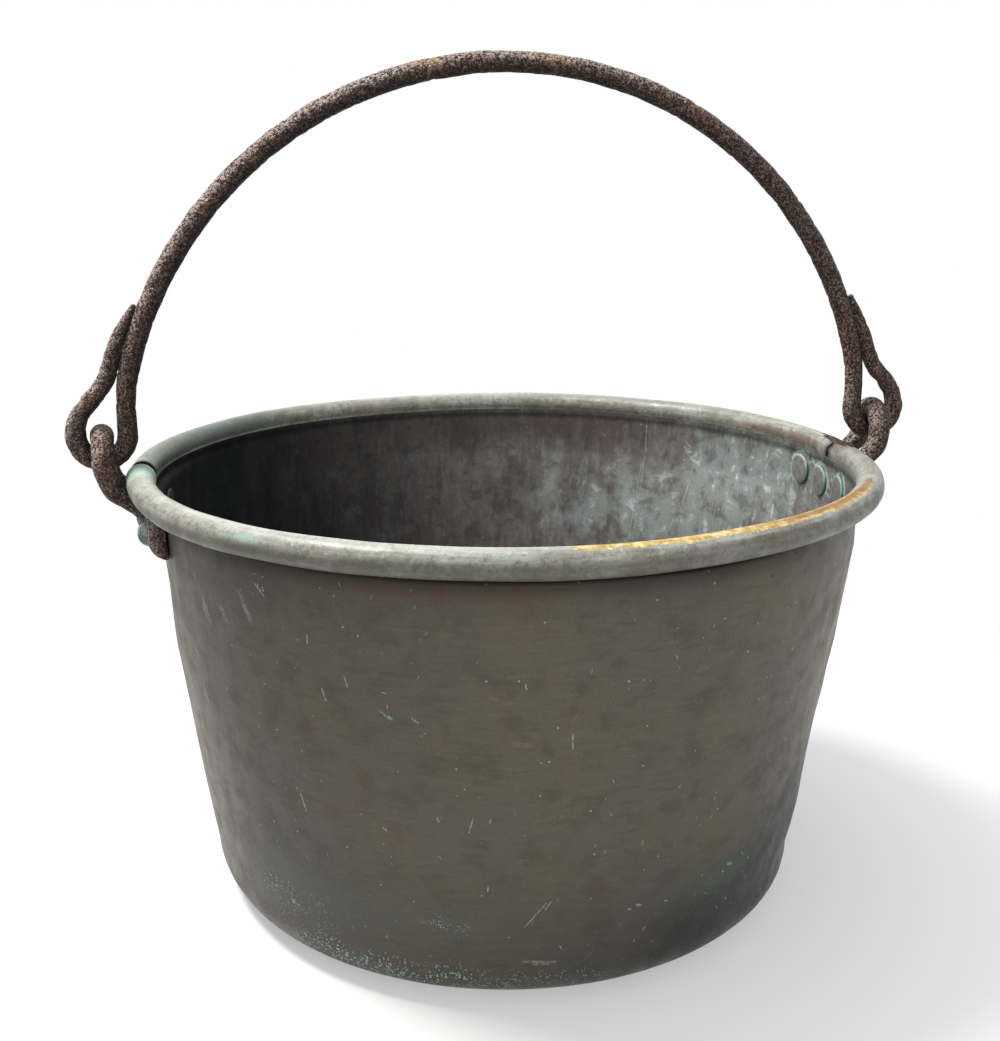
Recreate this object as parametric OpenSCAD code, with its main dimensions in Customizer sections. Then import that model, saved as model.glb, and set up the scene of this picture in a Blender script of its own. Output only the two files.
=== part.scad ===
// Copper wash boiler: a raised copper pan with a rolled rim over an iron hoop,
// two riveted iron ears and a forged iron bail whose eyes are linked into them.
// The origin is the middle of the flat base. +Z is up and the ears lie along X.

/* [Pan] */
// Height of the pan, from the floor to the top of the rolled rim
pan_h = 307; // [250:1:360]
// Diameter over the rolled rim
rim_d = 520; // [480:1:560]
// Thickness of the copper sheet
sheet_t = 1.8; // [1.2:0.1:2.4]
// How far the rolled rim stands into the pan past the wall
rim_lip = 1.2; // [0.4:0.1:1.6]
// Height of the straight collar, from the middle of the rolled rim down
collar_h = 42; // [40:1:60]
// Diameter at the floor, where the tapered wall would meet it
base_d = 421; // [380:1:440]
// Outside radius between the wall and the base
corner_r = 26; // [15:1:40]
// How far the tapered wall swells out past a straight line
wall_swell = 1; // [0:0.5:6]
// Slit between the rolled edge and the wall
curl_gap = 1.5; // [1:0.1:3]

/* [Hoop] */
// Thickness of the iron hoop inside the rolled rim
hoop_d = 14; // [10:0.5:16]
// Free space round the hoop
hoop_play = 0.3; // [0.2:0.1:0.6]

/* [Ears] */
// Thickness of the ear's iron rod
ear_rod_d = 15; // [12:0.5:16]
// How far the loops stand out past the rim
ear_stand = 18.25; // [17:0.25:24]
// Free space round the bail's rod inside a loop
ear_play = 2; // [1.5:0.25:3]
// Height of the ear's riveted foot
foot_h = 27; // [24:0.5:30]
// Thickness of the foot at its middle
foot_t = 11; // [9:0.5:12]
// Length of the foot along the wall
foot_len = 150; // [120:1:170]
// Depth of the foot's middle under the middle of the rolled rim
foot_drop = 25.5; // [24:0.5:28]
// Thickness of each leg where it runs into the foot
leg_root_d = 11.5; // [9:0.5:13]
// How far each leg leans in toward the pan below its loop
leg_lean = 6.5; // [4:0.5:9]

/* [Rivets] */
// Thickness of a rivet's shank
shank_d = 8; // [6:0.5:9]
// Diameter of the domed head on the foot
outer_head_d = 16; // [12:0.5:16]
// Height of the domed head
outer_head_h = 4.5; // [3:0.5:6]
// Diameter of the flat head inside the pan
inner_head_d = 23; // [14:0.5:26]
// Thickness of the flat head inside the pan
inner_head_t = 2; // [1.5:0.1:4]
// Distance between two rivets of a foot
rivet_pitch = 36; // [30:1:45]

/* [Bail] */
// Thickness of the bail's iron rod
bail_rod_d = 14; // [11:0.5:15]
// Height of the bail's crown above its swing axis
bail_h = 256.5; // [240:0.5:300]
// Height of the swing axis above the middle of the rolled rim
axis_rise = 13.5; // [12:0.5:20]
// How far the arch swells out past its straight legs
arch_swell = 6; // [2:0.5:12]
// Radius of the bend between the arch and each leg
leg_bend_r = 107; // [60:1:150]
// Free space on each side of the ear's rod inside an eye
eye_play = 2.25; // [2:0.25:4]
// Height of the left eye's inside above the swing axis
left_eye_h = 63; // [52:1:68]
// Height of the right eye's inside above the swing axis
right_eye_h = 49; // [46:1:68]
// Height of both forged tips above the swing axis
tip_h = 100; // [92:1:120]
// Thickness of the forged tips
tip_d = 5; // [3:0.5:8]
// Lean of the eye's outer leg toward the arch, in degrees
eye_slope = 35; // [30:1:40]

/* [Whole] */
// How far the bail and both loops sit toward the right
side_shift = 4; // [0:0.5:6]

/* [Hidden] */
LEFT = -1;
RIGHT = 1;
SIDES = [LEFT, RIGHT];
PLACES = [-1, 0, 1];
side_word = ["left", "", "right"];
place_word = ["front", "middle", "back"];
function rivet_name(side, place) = str("rivet_", side_word[side + 1], "_", place_word[place + 1]);
RIVETS = [for (side = SIDES, place = PLACES) rivet_name(side, place)];

seat_gap = 0.3;
hole_play = 0.15;
head_gap = 0.2;
facet_count = 64;
ring_facets = 180;
arc_steps = 12;
curl_steps = 40;
eps = 0.01;

rim_r = rim_d / 2;
cavity_r = hoop_d / 2 + hoop_play;
bead_r = cavity_r + sheet_t;
bead_c = rim_r - bead_r;
rim_z = pan_h - bead_r;
wall_in = bead_c - bead_r + rim_lip;
wall_out = wall_in + sheet_t;
collar_z = rim_z - collar_h;

axis_z = rim_z + axis_rise;
loop_r = bail_rod_d / 2 + ear_play + ear_rod_d / 2;
foot_in = wall_out + seat_gap;
foot_z = rim_z - foot_drop;
foot_turn = foot_len / foot_in * 180 / PI;
foot_arc_r = (pow(foot_h / 2, 2) + pow(foot_t, 2)) / (2 * foot_t);
flat_t = sqrt(pow(foot_arc_r, 2) - pow(outer_head_d / 2, 2)) - foot_arc_r + foot_t - seat_gap;
ear_bend_r = ear_rod_d * 0.6;
rivet_turn = rivet_pitch / foot_in * 180 / PI;
inner_seat = sqrt(pow(wall_in, 2) - pow(inner_head_d / 2, 2)) - head_gap;

eye_reach = rim_r + ear_stand;
eye_r = ear_rod_d / 2 + eye_play + bail_rod_d / 2;
eye_z = axis_z + eye_r;
leg_x = eye_reach - eye_r;
outer_x = eye_reach + eye_r;
arch_r = leg_x + arch_swell;
arch_z = axis_z + bail_h - arch_r;
arch_end = acos((leg_x - leg_bend_r) / (arch_r - leg_bend_r));
bend_x = leg_x - leg_bend_r;
bend_z = arch_z + (arch_r - leg_bend_r) * sin(arch_end);
eye_bend_r = bail_rod_d;
weld_rise = 9;
weld_pitch = 0.8 * bail_rod_d;
tip_sink = 0.5;
knuckle_swell = 0.4;

// Points of an arc about c, from angle a0 to a1
function arc(c, r, a0, a1, steps = arc_steps) =
    [for (i = [0 : steps]) let (a = a0 + (a1 - a0) * i / steps) c + r * [cos(a), sin(a)]];

// One side of the wall, from the collar down to the axis of the base; t is the depth into the sheet
function wall_side(t) =
    let (
        taper = atan((wall_out - base_d / 2) / collar_z),
        corner = [base_d / 2 - corner_r * tan((90 - taper) / 2), corner_r],
        from = [wall_out - t, collar_z],
        to = corner + (corner_r - t) * [cos(taper), -sin(taper)],
        swell = [for (i = [1 : arc_steps - 1])
            let (s = i / arc_steps) from + (to - from) * s + [wall_swell * sin(180 * s), 0]]
    )
    concat([from], swell, arc(corner, corner_r - t, -taper, -90), [[0, t]]);

// Half section of the copper sheet: base, wall and the edge rolled outward over the hoop
module pan_section() {
    middle = [bead_c, rim_z];
    outside = wall_side(0);
    inside = wall_side(sheet_t);
    curl_start = 180 + acos((bead_c - wall_out) / cavity_r);
    curl_end = acos((bead_c - wall_out) / bead_r) + curl_gap / bead_r * 180 / PI - 180;
    curl_top = 180 + acos((bead_c - wall_in) / bead_r);
    polygon(concat(
        [for (i = [len(outside) - 1 : -1 : 0]) outside[i]],
        arc(middle, cavity_r, curl_start, curl_end, curl_steps),
        arc(middle, bead_r, curl_end, curl_top, curl_steps),
        inside
    ));
}

// Places its children at one rivet, with +X pointing out of the wall
module at_rivet(side, place) {
    rotate([0, 0, (side == LEFT ? 180 : 0) + side * place * rivet_turn])
        translate([0, 0, foot_z]) children();
}

// Cylinder along +X from x0 to x1
module bar_x(x0, x1, d) {
    translate([x0, 0, 0]) rotate([0, 90, 0]) cylinder(h = x1 - x0, d = d, $fn = facet_count);
}

// Straight round rod in the XZ plane between two points, each [x, z]
module rod(p, q, d0, d1) {
    v = q - p;
    translate([p.x, 0, p.y]) rotate([0, atan2(v.x, v.y), 0])
        cylinder(h = norm(v), d1 = d0, d2 = d1, $fn = facet_count);
}

// Ball that blends two runs of rod at point p
module knuckle(p, d) {
    translate([p.x, 0, p.y]) sphere(d = d + knuckle_swell, $fn = facet_count);
}

// Round rod bent in the XZ plane about c, from angle a0 to a larger a1, counted from +X toward +Z
module rod_arc(c, r, d, a0, a1) {
    translate([c.x, 0, c.y]) rotate([90, 0, 0]) rotate([0, 0, a0])
        rotate_extrude(angle = a1 - a0, $fn = ring_facets)
            translate([r, 0]) circle(d = d, $fn = facet_count);
}

// Round rod along a path of [x, z] points, bent with radius r at each corner, its last run tapered to d_end
module bent_rod(path, r, d, d_end) {
    last = len(path) - 1;
    run = [for (i = [0 : last - 1]) (path[i + 1] - path[i]) / norm(path[i + 1] - path[i])];
    turn = [for (i = [1 : last - 1]) asin(cross(run[i - 1], run[i]))];
    cut = concat([0], [for (t = turn) r * tan(abs(t) / 2)], [0]);
    for (i = [0 : last - 1])
        rod(path[i] + cut[i] * run[i], path[i + 1] - cut[i + 1] * run[i], d, i == last - 1 ? d_end : d);
    for (i = [1 : last - 1]) {
        a = turn[i - 1];
        inward = sign(a) * [-run[i - 1].y, run[i - 1].x];
        start = atan2(-inward.y, -inward.x);
        rod_arc(path[i] - cut[i] * run[i - 1] + r * inward, r, d, start + min(a, 0), start + max(a, 0));
        knuckle(path[i] - cut[i] * run[i - 1], d);
        knuckle(path[i] + cut[i] * run[i], d);
    }
}

module pan() {
    color([0.37, 0.33, 0.29])
        difference() {
            rotate_extrude($fn = ring_facets) pan_section();
            for (side = SIDES, place = PLACES)
                at_rivet(side, place)
                    bar_x(wall_in - inner_head_d, wall_out + inner_head_d, shank_d + 2 * hole_play);
        }
}

module rim_hoop() {
    color([0.30, 0.22, 0.17])
        translate([0, 0, rim_z])
            rotate_extrude($fn = ring_facets)
                translate([bead_c, 0]) circle(d = hoop_d, $fn = facet_count);
}

// Curved iron foot of half-round section that hugs the collar
module foot() {
    rotate([0, 0, -foot_turn / 2])
        rotate_extrude(angle = foot_turn, $fn = ring_facets)
            intersection() {
                translate([foot_in + foot_t - foot_arc_r, foot_z]) circle(foot_arc_r, $fn = facet_count);
                translate([foot_in, foot_z - foot_h / 2]) square([foot_t, foot_h]);
            }
}

// One leg of the ear: down from the loop, round the outside of the rim and into the foot
module leg(reach) {
    knee_z = rim_z - bead_r * 2 / 3;
    path = [
        [reach, axis_z],
        [reach, axis_z - bail_rod_d / 2],
        [reach - leg_lean, knee_z],
        [foot_in + foot_t * 2 / 3, foot_z + foot_h / 8],
    ];
    translate([0, loop_r, 0]) {
        bent_rod(path, ear_bend_r, ear_rod_d, leg_root_d);
        knuckle(path[0], ear_rod_d);
    }
}

module ear(side) {
    reach = eye_reach + side * side_shift;
    color([0.27, 0.21, 0.18])
        difference() {
            rotate([0, 0, side == LEFT ? 180 : 0]) {
                foot();
                leg(reach);
                mirror([0, 1, 0]) leg(reach);
                translate([reach, 0, axis_z]) rotate([0, 0, 90]) rod_arc([0, 0], loop_r, ear_rod_d, 0, 180);
            }
            for (place = PLACES)
                at_rivet(side, place) {
                    bar_x(wall_in, rim_r, shank_d + 2 * hole_play);
                    bar_x(foot_in + flat_t, rim_r + eps, outer_head_d + 2 * seat_gap);
                }
        }
}

// Copper rivet through the foot and the wall, domed outside and flat inside, turned about its own axis
module rivet(side, place) {
    seat = foot_in + flat_t + head_gap;
    dome_r = (pow(outer_head_d / 2, 2) + pow(outer_head_h, 2)) / (2 * outer_head_h);
    dome_edge = acos((outer_head_d / 2) / dome_r);
    profile = concat(
        [[0, inner_seat - inner_head_t], [inner_head_d / 2, inner_seat - inner_head_t]],
        [[inner_head_d / 2, inner_seat], [shank_d / 2, inner_seat], [shank_d / 2, seat]],
        arc([0, seat + outer_head_h - dome_r], dome_r, dome_edge, 90)
    );
    color([0.43, 0.36, 0.30])
        at_rivet(side, place) rotate([0, 90, 0]) rotate_extrude($fn = facet_count) polygon(profile);
}

// Distance of the arch's middle line from the bail's centre at height z
function arch_x(z) = z > arch_z + arch_r * sin(arch_end)
    ? sqrt(pow(arch_r, 2) - pow(z - arch_z, 2))
    : bend_x + sqrt(pow(leg_bend_r, 2) - pow(max(z - bend_z, 0), 2));

// Right end of the bail: bend, straight leg, eye and the tapered end forged onto the arch
module bail_end(eye_h) {
    crotch_z = axis_z + eye_h;
    elbow_z = crotch_z - (outer_x - arch_x(crotch_z) - bail_rod_d) / tan(eye_slope);
    weld_z = crotch_z + weld_rise;
    tip_z = axis_z + tip_h;
    path = [
        [outer_x, eye_z],
        [outer_x, elbow_z],
        [arch_x(weld_z) + weld_pitch, weld_z],
        [arch_x(tip_z) + (bail_rod_d + tip_d) / 2 - tip_sink, tip_z],
    ];
    rod_arc([bend_x, bend_z], leg_bend_r, bail_rod_d, 0, arch_end);
    rod([leg_x, bend_z], [leg_x, eye_z], bail_rod_d, bail_rod_d);
    rod_arc([eye_reach, eye_z], eye_r, bail_rod_d, 180, 360);
    bent_rod(path, eye_bend_r, bail_rod_d, tip_d);
    knuckle([bend_x, bend_z] + leg_bend_r * [cos(arch_end), sin(arch_end)], bail_rod_d);
    knuckle([leg_x, bend_z], bail_rod_d);
    knuckle([leg_x, eye_z], bail_rod_d);
    knuckle([outer_x, eye_z], bail_rod_d);
    knuckle(path[len(path) - 1], tip_d);
}

module bail() {
    color([0.27, 0.21, 0.18])
        translate([side_shift, 0, 0]) {
            rod_arc([0, arch_z], arch_r, bail_rod_d, arch_end, 180 - arch_end);
            bail_end(right_eye_h);
            mirror([1, 0, 0]) bail_end(left_eye_h);
        }
}

pan();
rim_hoop();
ear(LEFT);  // ear_left
ear(RIGHT);  // ear_right
for (side = SIDES, place = PLACES)
    rivet(side, place);
bail();
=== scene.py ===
import math

import bpy
import numpy as np
from mathutils import Euler, Matrix, Vector, noise


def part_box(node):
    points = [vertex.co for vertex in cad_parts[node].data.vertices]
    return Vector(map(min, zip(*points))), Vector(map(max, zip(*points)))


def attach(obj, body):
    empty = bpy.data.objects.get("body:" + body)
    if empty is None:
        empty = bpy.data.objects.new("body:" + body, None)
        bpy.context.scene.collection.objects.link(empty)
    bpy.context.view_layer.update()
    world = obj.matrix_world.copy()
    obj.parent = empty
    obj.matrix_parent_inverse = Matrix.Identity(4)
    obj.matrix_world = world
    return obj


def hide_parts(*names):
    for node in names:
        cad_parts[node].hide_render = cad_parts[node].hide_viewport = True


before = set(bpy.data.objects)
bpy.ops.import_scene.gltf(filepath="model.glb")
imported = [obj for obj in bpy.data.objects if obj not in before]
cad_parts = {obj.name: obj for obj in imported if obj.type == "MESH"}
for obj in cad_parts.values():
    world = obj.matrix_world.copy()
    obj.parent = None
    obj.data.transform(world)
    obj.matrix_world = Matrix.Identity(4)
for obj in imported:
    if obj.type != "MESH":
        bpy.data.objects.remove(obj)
scene = bpy.context.scene
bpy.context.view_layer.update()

# -------------------- camera
camera_data = bpy.data.cameras.new("camera")
camera_data.sensor_width = 36
camera_data.lens = 44.957
camera_data.clip_start = 0.05
camera_data.clip_end = 50
camera = bpy.data.objects.new("camera", camera_data)
scene.collection.objects.link(camera)
camera.location = (-0.19606, -0.88438, 0.49673)
aim = Euler((math.radians(75.04), 0, math.radians(-12.265))).to_matrix()
roll = Matrix.Rotation(math.radians(0.12), 3, "Z")
camera.rotation_euler = (aim @ roll).to_euler()
scene.camera = camera

# -------------------- sizes, in metres
PAN_LOW, PAN_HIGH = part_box("pan")
SHEET = 0.0018             # thickness of the copper
BEAD_R = 0.0091            # outside radius of the rolled bead
BEAD_C = PAN_HIGH.y - BEAD_R
RIM_Z = PAN_HIGH.z - BEAD_R
WALL_R = 0.2448            # outside radius of the upright collar below the bead
COLLAR_Z = 0.2559
BASE_R = 0.2105
CORNER_R = 0.034
ROUND_R = 0.234            # radius at which the wall is laid flat for its texture
AXIS_Z = 0.3114            # where the bail swings
SHIFT = 0.004              # the bail and ears sit this far to the right
EYE_REACH = 0.27825        # from the bail's middle to each ear's loop
FOOT_IN = 0.2451
FOOT_Z = 0.2724
# Each rivet's own place: degrees from the middle of its ear, toward the front below 0, and height
RIVETS = {
    "left": (("front", -8.0, FOOT_Z - 0.0040), ("middle", 0.0, FOOT_Z - 0.0025),
             ("back", 8.42, FOOT_Z - 0.0020)),
    "right": (("front", -10.2, FOOT_Z + 0.0024), ("middle", -0.8, FOOT_Z + 0.0014),
              ("back", 6.6, FOOT_Z + 0.0036)),
}
# The sheet's way round the bead's section, in degrees (0 faces out, 90 up), and a value for off the bead
RING_ANGLES = np.linspace(193, -122, 58)
OFF_RING = 240.0
SEAM_TURN = -90.3          # where the bead's two ends meet by the left ear
CRACK_TURN = 86.6          # split in the bead by the right ear
LEFT, RIGHT = -1, 1


def smooth(x, lo, hi):
    """0 below lo, 1 above hi, and an even S between them."""
    t = np.clip((np.asarray(x, float) - lo) / (hi - lo), 0, 1)
    return t * t * (3 - 2 * t)


def fall(x, lo, hi):
    """1 below lo, 0 above hi, and an even S between them."""
    return 1 - smooth(x, lo, hi)


def bump_at(x, middle, width):
    return np.exp(-(((np.asarray(x, float) - middle) / width) ** 2))


def noise_at(points, size, seed=0):
    """Gentle noise from -1 to 1 at each point; size is the distance between its swells."""
    k = 1 / size
    move = Vector((seed * 17.3, seed * 5.1, seed * 9.7))
    return np.array([noise.noise(Vector(p) * k + move) for p in points])


def polar(turn, radius, z):
    a = math.radians(turn)
    return (radius * math.sin(a), -radius * math.cos(a), z)


# -------------------- shader building
def fresh_tree(owner):
    owner.use_nodes = True
    owner.node_tree.nodes.clear()
    return owner.node_tree


def put(socket, value):
    """Sets a socket: links another node's output to it, or gives it a number or a colour."""
    if isinstance(value, bpy.types.NodeSocket):
        socket.id_data.links.new(value, socket)
    elif socket.type in ("RGBA", "VECTOR"):
        value = (value,) * 3 if isinstance(value, (int, float)) else tuple(value)
        socket.default_value = value + ((1,) if socket.type == "RGBA" else ())
    else:
        socket.default_value = value


def add_node(tree, kind, inputs=(), **props):
    n = tree.nodes.new(kind)
    for key, value in props.items():
        setattr(n, key, value)
    for key, value in dict(inputs).items():
        put(n.inputs[key], value)
    return n


class Shader:
    """A node material, written as nested calls."""

    def __init__(self, name):
        self.material = bpy.data.materials.new(name)
        self.tree = fresh_tree(self.material)
        self.bsdf = self.node("ShaderNodeBsdfPrincipled")
        self.node("ShaderNodeOutputMaterial", {"Surface": self.bsdf.outputs[0]})
        where = self.node("ShaderNodeTexCoord")
        self.place, self.outward = where.outputs["Object"], where.outputs["Normal"]
        self.x, self.y, self.rise = self.node("ShaderNodeSeparateXYZ", {0: self.place}).outputs

    def node(self, kind, inputs=(), **props):
        return add_node(self.tree, kind, inputs, **props)

    def math(self, op, *values, clamp=False):
        return self.node("ShaderNodeMath", enumerate(values), operation=op, use_clamp=clamp).outputs[0]

    def chain(self, op, values):
        total = values[0]
        for v in values[1:]:
            total = self.math(op, total, v)
        return total

    def add(self, *values):
        return self.chain("ADD", values)

    def mul(self, *values):
        return self.chain("MULTIPLY", values)

    def top(self, *values):
        return self.chain("MAXIMUM", values)

    def sway(self, value, amount):
        """A noise value moved to swing evenly about zero."""
        return self.mul(self.math("SUBTRACT", value, 0.5), amount)

    def vector(self, op, *values, out=0):
        return self.node("ShaderNodeVectorMath", enumerate(values), operation=op).outputs[out]

    def ease(self, value, lo, hi, to_lo=0.0, to_hi=1.0):
        n = self.node("ShaderNodeMapRange", {0: value, 1: lo, 2: hi, 3: to_lo, 4: to_hi})
        n.interpolation_type = "SMOOTHSTEP"
        return n.outputs[0]

    def noise(self, scale, detail=4.0, rough=0.55, warp=0.0):
        return self.node("ShaderNodeTexNoise", {"Vector": self.place, "Scale": scale, "Detail": detail,
                                                "Roughness": rough, "Distortion": warp}).outputs[0]

    def unrolled(self, across=1.0, up=1.0, turned=0.0, seed=0.0):
        """Place on the pan's wall or bead laid flat: metres round it and metres up, turned and scaled."""
        flat = self.node("ShaderNodeCombineXYZ", {0: self.round, 1: self.rise}).outputs[0]
        if turned:
            flat = self.node("ShaderNodeVectorRotate", {"Vector": flat, "Angle": turned}).outputs[0]
        return self.vector("MULTIPLY_ADD", flat, (across, up, 1.0), (seed, seed * 0.7, 0.0))

    def smears(self, across, up, seed=0.0):
        """Noise drawn out one way, with its own number of swells to the metre across and up."""
        at = self.node("ShaderNodeCombineXYZ", {0: self.x, 1: self.y, 2: self.rise}).outputs[0]
        at = self.vector("MULTIPLY_ADD", at, (across, across, up), (seed, seed * 0.7, seed * 0.3))
        return self.node("ShaderNodeTexNoise", {"Vector": at, "Scale": 1.0, "Detail": 4.0,
                                                "Roughness": 0.6}).outputs[0]

    def flecks(self, vector, share, size):
        """Round flecks: one in a share of the cells, each up to a part of its cell across."""
        n = self.node("ShaderNodeTexVoronoi", {"Vector": vector, "Scale": 1.0}, voronoi_dimensions="2D")
        chosen = self.node("ShaderNodeSeparateColor", {0: n.outputs["Color"]})
        on = self.math("LESS_THAN", chosen.outputs[0], share)
        left = self.math("SUBTRACT", self.mul(chosen.outputs[1], size), n.outputs["Distance"])
        return self.mul(on, self.ease(left, 0.0, size * 0.35))

    def mix(self, share, a, b):
        n = self.node("ShaderNodeMix", data_type="RGBA")
        for index, value in ((0, share), (6, a), (7, b)):
            put(n.inputs[index], value)
        return n.outputs[2]

    def mask(self, name):
        return self.node("ShaderNodeAttribute", attribute_name=name).outputs["Fac"]

    def lay(self, tone, *shares):
        """Lays a tone over the colour so far, by the product of the shares."""
        self.colour = self.mix(self.mul(*shares), self.colour, tone)

    def patch(self, name, breakup, amount=1.0, hard=0.3):
        """A painted mask with its edge broken up by noise."""
        value = self.add(self.mask(name), self.sway(breakup, amount))
        return self.mul(self.ease(value, 0.5 - hard, 0.5 + hard), self.ease(self.mask(name), 0.0, 0.15))

    def stroke(self, flat, turn0, z0, turn1, z1, width):
        """A soft mark on the unrolled wall between two places: degrees round, mm up; width in mm."""
        start = Vector((math.radians(turn0) * ROUND_R, z0 / 1000, 0))
        run = Vector((math.radians(turn1) * ROUND_R, z1 / 1000, 0)) - start
        rel = self.vector("SUBTRACT", flat, start)
        along = self.vector("DOT_PRODUCT", rel, run, out=1)
        along = self.math("DIVIDE", along, run.length_squared, clamp=True)
        nearest = self.node("ShaderNodeVectorMath", {0: run, "Scale": along}, operation="SCALE").outputs[0]
        off = self.vector("DISTANCE", rel, nearest, out=1)
        return self.ease(off, width * 0.0001, width * 0.00055, 1.0, 0.0)

    def relief(self, height, distance, strength=1.0, under=None):
        n = self.node("ShaderNodeBump", {"Height": height, "Distance": distance, "Strength": strength})
        if under is not None:
            put(n.inputs["Normal"], under)
        return n.outputs[0]

    def finish(self, **sockets):
        for name, value in sockets.items():
            put(self.bsdf.inputs[name.replace("_", " ")], value)
        return self.material


def rgb(r, g, b):
    """A colour as it looks on a screen, 0 to 255, in the shader's own scale."""
    return tuple(((c / 255 + 0.055) / 1.055) ** 2.4 if c > 10 else c / 255 / 12.92 for c in (r, g, b))


# -------------------- meshes
def add_piece(name, points, faces, body, materials, nodes, masks=None, choice=None):
    mesh = bpy.data.meshes.new(name)
    mesh.from_pydata(np.asarray(points).tolist(), [], [list(map(int, f)) for f in faces])
    mesh.polygons.foreach_set("use_smooth", np.ones(len(mesh.polygons), bool))
    mesh.update()
    for key, values in (masks or {}).items():
        layer = mesh.attributes.new(key, "FLOAT", "POINT")
        layer.data.foreach_set("value", np.asarray(values, np.float32))
    obj = bpy.data.objects.new(name, mesh)
    scene.collection.objects.link(obj)
    for material in materials:
        mesh.materials.append(material)
    if choice is not None:
        mesh.polygons.foreach_set("material_index", np.asarray(choice, np.int32))
    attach(obj, body)
    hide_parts(*nodes)


def ring_faces(rings, sides):
    def at(i, k):
        return i * sides + k % sides

    return [(at(i, k), at(i, k + 1), at(i + 1, k + 1), at(i + 1, k))
            for i in range(rings - 1) for k in range(sides)]


def rod(path, sides=40, seed=0, rough=1.0):
    """Closed round bar along (x, y, z, radius) points, domed at its ends, with the lumps of forged iron."""
    path = np.asarray(path, float)
    quarter = np.radians((78, 60, 40, 20))

    def dome(end, run):
        run = run / np.linalg.norm(run)
        return [np.r_[end[:3] + run * end[3] * math.sin(a), end[3] * math.cos(a)] for a in quarter]

    start = dome(path[0], path[0, :3] - path[1, :3])
    end = dome(path[-1], path[-1, :3] - path[-2, :3])
    line = np.array(start + list(path) + end[::-1])
    tangent = np.gradient(line[:, :3], axis=0)
    tangent /= np.linalg.norm(tangent, axis=1)[:, None]
    side = np.cross(tangent[0], (0.0, 1.0, 0.0))
    if np.linalg.norm(side) < 0.1:
        side = np.cross(tangent[0], (0.0, 0.0, 1.0))
    angle = 2 * math.pi * np.arange(sides)[:, None] / sides
    points, outward = [], []
    for p, t in zip(line, tangent):
        side = side - t * (side @ t)
        side /= np.linalg.norm(side)
        ring = np.cos(angle) * side + np.sin(angle) * np.cross(t, side)
        points.append(p[:3] + p[3] * ring)
        outward.append(ring)
    points, outward = np.concatenate(points), np.concatenate(outward)
    if rough:
        points = points + outward * (iron_skin(points, seed) * rough)[:, None]
    faces = [f[::-1] for f in ring_faces(len(line), sides)]
    rings = len(line)
    middle = len(points)
    points = np.concatenate([points, points[:sides].mean(0)[None], points[-sides:].mean(0)[None]])
    faces += [(middle, k, (k + 1) % sides) for k in range(sides)]
    last = (rings - 1) * sides
    faces += [(middle + 1, last + (k + 1) % sides, last + k) for k in range(sides)]
    return points, faces


def iron_skin(points, seed):
    """How far old forged iron stands out from or in to its true form at each point."""
    lumps = noise_at(points, 0.017, seed) * 0.0004 + noise_at(points, 0.0075, seed + 1) * 0.00024
    pits = np.clip(noise_at(points, 0.0042, seed + 2) - 0.1, 0, 1) * -0.0011
    return lumps + pits


def joined(*parts):
    points, faces = [], []
    for p, f in parts:
        faces += [tuple(v + len(points) for v in face) for face in f]
        points += list(p)
    return points, faces


def read(rows, key, width, kind=float):
    """One of a mesh's columns as an array."""
    values = np.zeros(len(rows) * width, kind)
    rows.foreach_get(key, values)
    return values.reshape(-1, width)


def forged(part, voxel, seed):
    """One closed skin round overlapping closed forms, then roughened as forged iron."""
    mesh = bpy.data.meshes.new("raw")
    mesh.from_pydata([tuple(p) for p in part[0]], [], part[1])
    obj = bpy.data.objects.new("raw", mesh)
    scene.collection.objects.link(obj)
    skin = obj.modifiers.new("skin", "REMESH")
    skin.mode = "VOXEL"
    skin.voxel_size = voxel
    made = bpy.data.meshes.new_from_object(obj.evaluated_get(bpy.context.evaluated_depsgraph_get()))
    bpy.data.objects.remove(obj)
    bpy.data.meshes.remove(mesh)
    points = read(made.vertices, "co", 3)
    a, b = read(made.edges, "vertices", 2, int).T
    count = np.bincount(np.r_[a, b], minlength=len(points))[:, None]
    smoothings = 2
    for _ in range(smoothings):
        total = np.zeros_like(points)
        np.add.at(total, a, points[b])
        np.add.at(total, b, points[a])
        points = points * 0.4 + total / count * 0.6
    faces = [tuple(f.vertices) for f in made.polygons]
    made.vertices.foreach_set("co", points.ravel())
    made.update()
    normals = read(made.vertex_normals, "vector", 3)
    bpy.data.meshes.remove(made)
    return points + normals * iron_skin(points, seed)[:, None], faces


def line_through(points, step=0.002, soften=0.0):
    """Evenly spaced (x, y, z, radius) rows along a polyline, its corners rounded over the given length."""
    points = np.asarray(points, float)
    run = np.r_[0, np.cumsum(np.linalg.norm(np.diff(points[:, :3], axis=0), axis=1))]
    at = np.linspace(0, run[-1], max(3, int(run[-1] / step)))
    line = np.stack([np.interp(at, run, column) for column in points.T], 1)
    if soften:
        reach = max(1, int(soften / step))
        kernel = np.hanning(2 * reach + 3)[1:-1]
        kernel /= kernel.sum()
        padded = np.r_[2 * line[0] - line[reach:0:-1], line, 2 * line[-1] - line[-2:-reach - 2:-1]]
        line = np.stack([np.convolve(column, kernel, "valid") for column in padded.T], 1)
    return line


def dent(turn, z):
    """The wall isn't quite round: how far it stands in from a true circle at a place, in metres."""
    z = np.asarray(z) * 1000
    left = bump_at(turn, -88, 26) * (0.0036 * smooth(z, 180, 250) + 0.0016) * smooth(z, 5, 40)
    right = bump_at(turn, 62, 24) * (0.0014 + 0.0022 * bump_at(z, 125, 50)) * smooth(z, 5, 40)
    right = right + 0.0030 * bump_at(turn, 74, 30) * bump_at(z, 36, 20)
    return (left + right) * fall(z, 284, 290)


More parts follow.
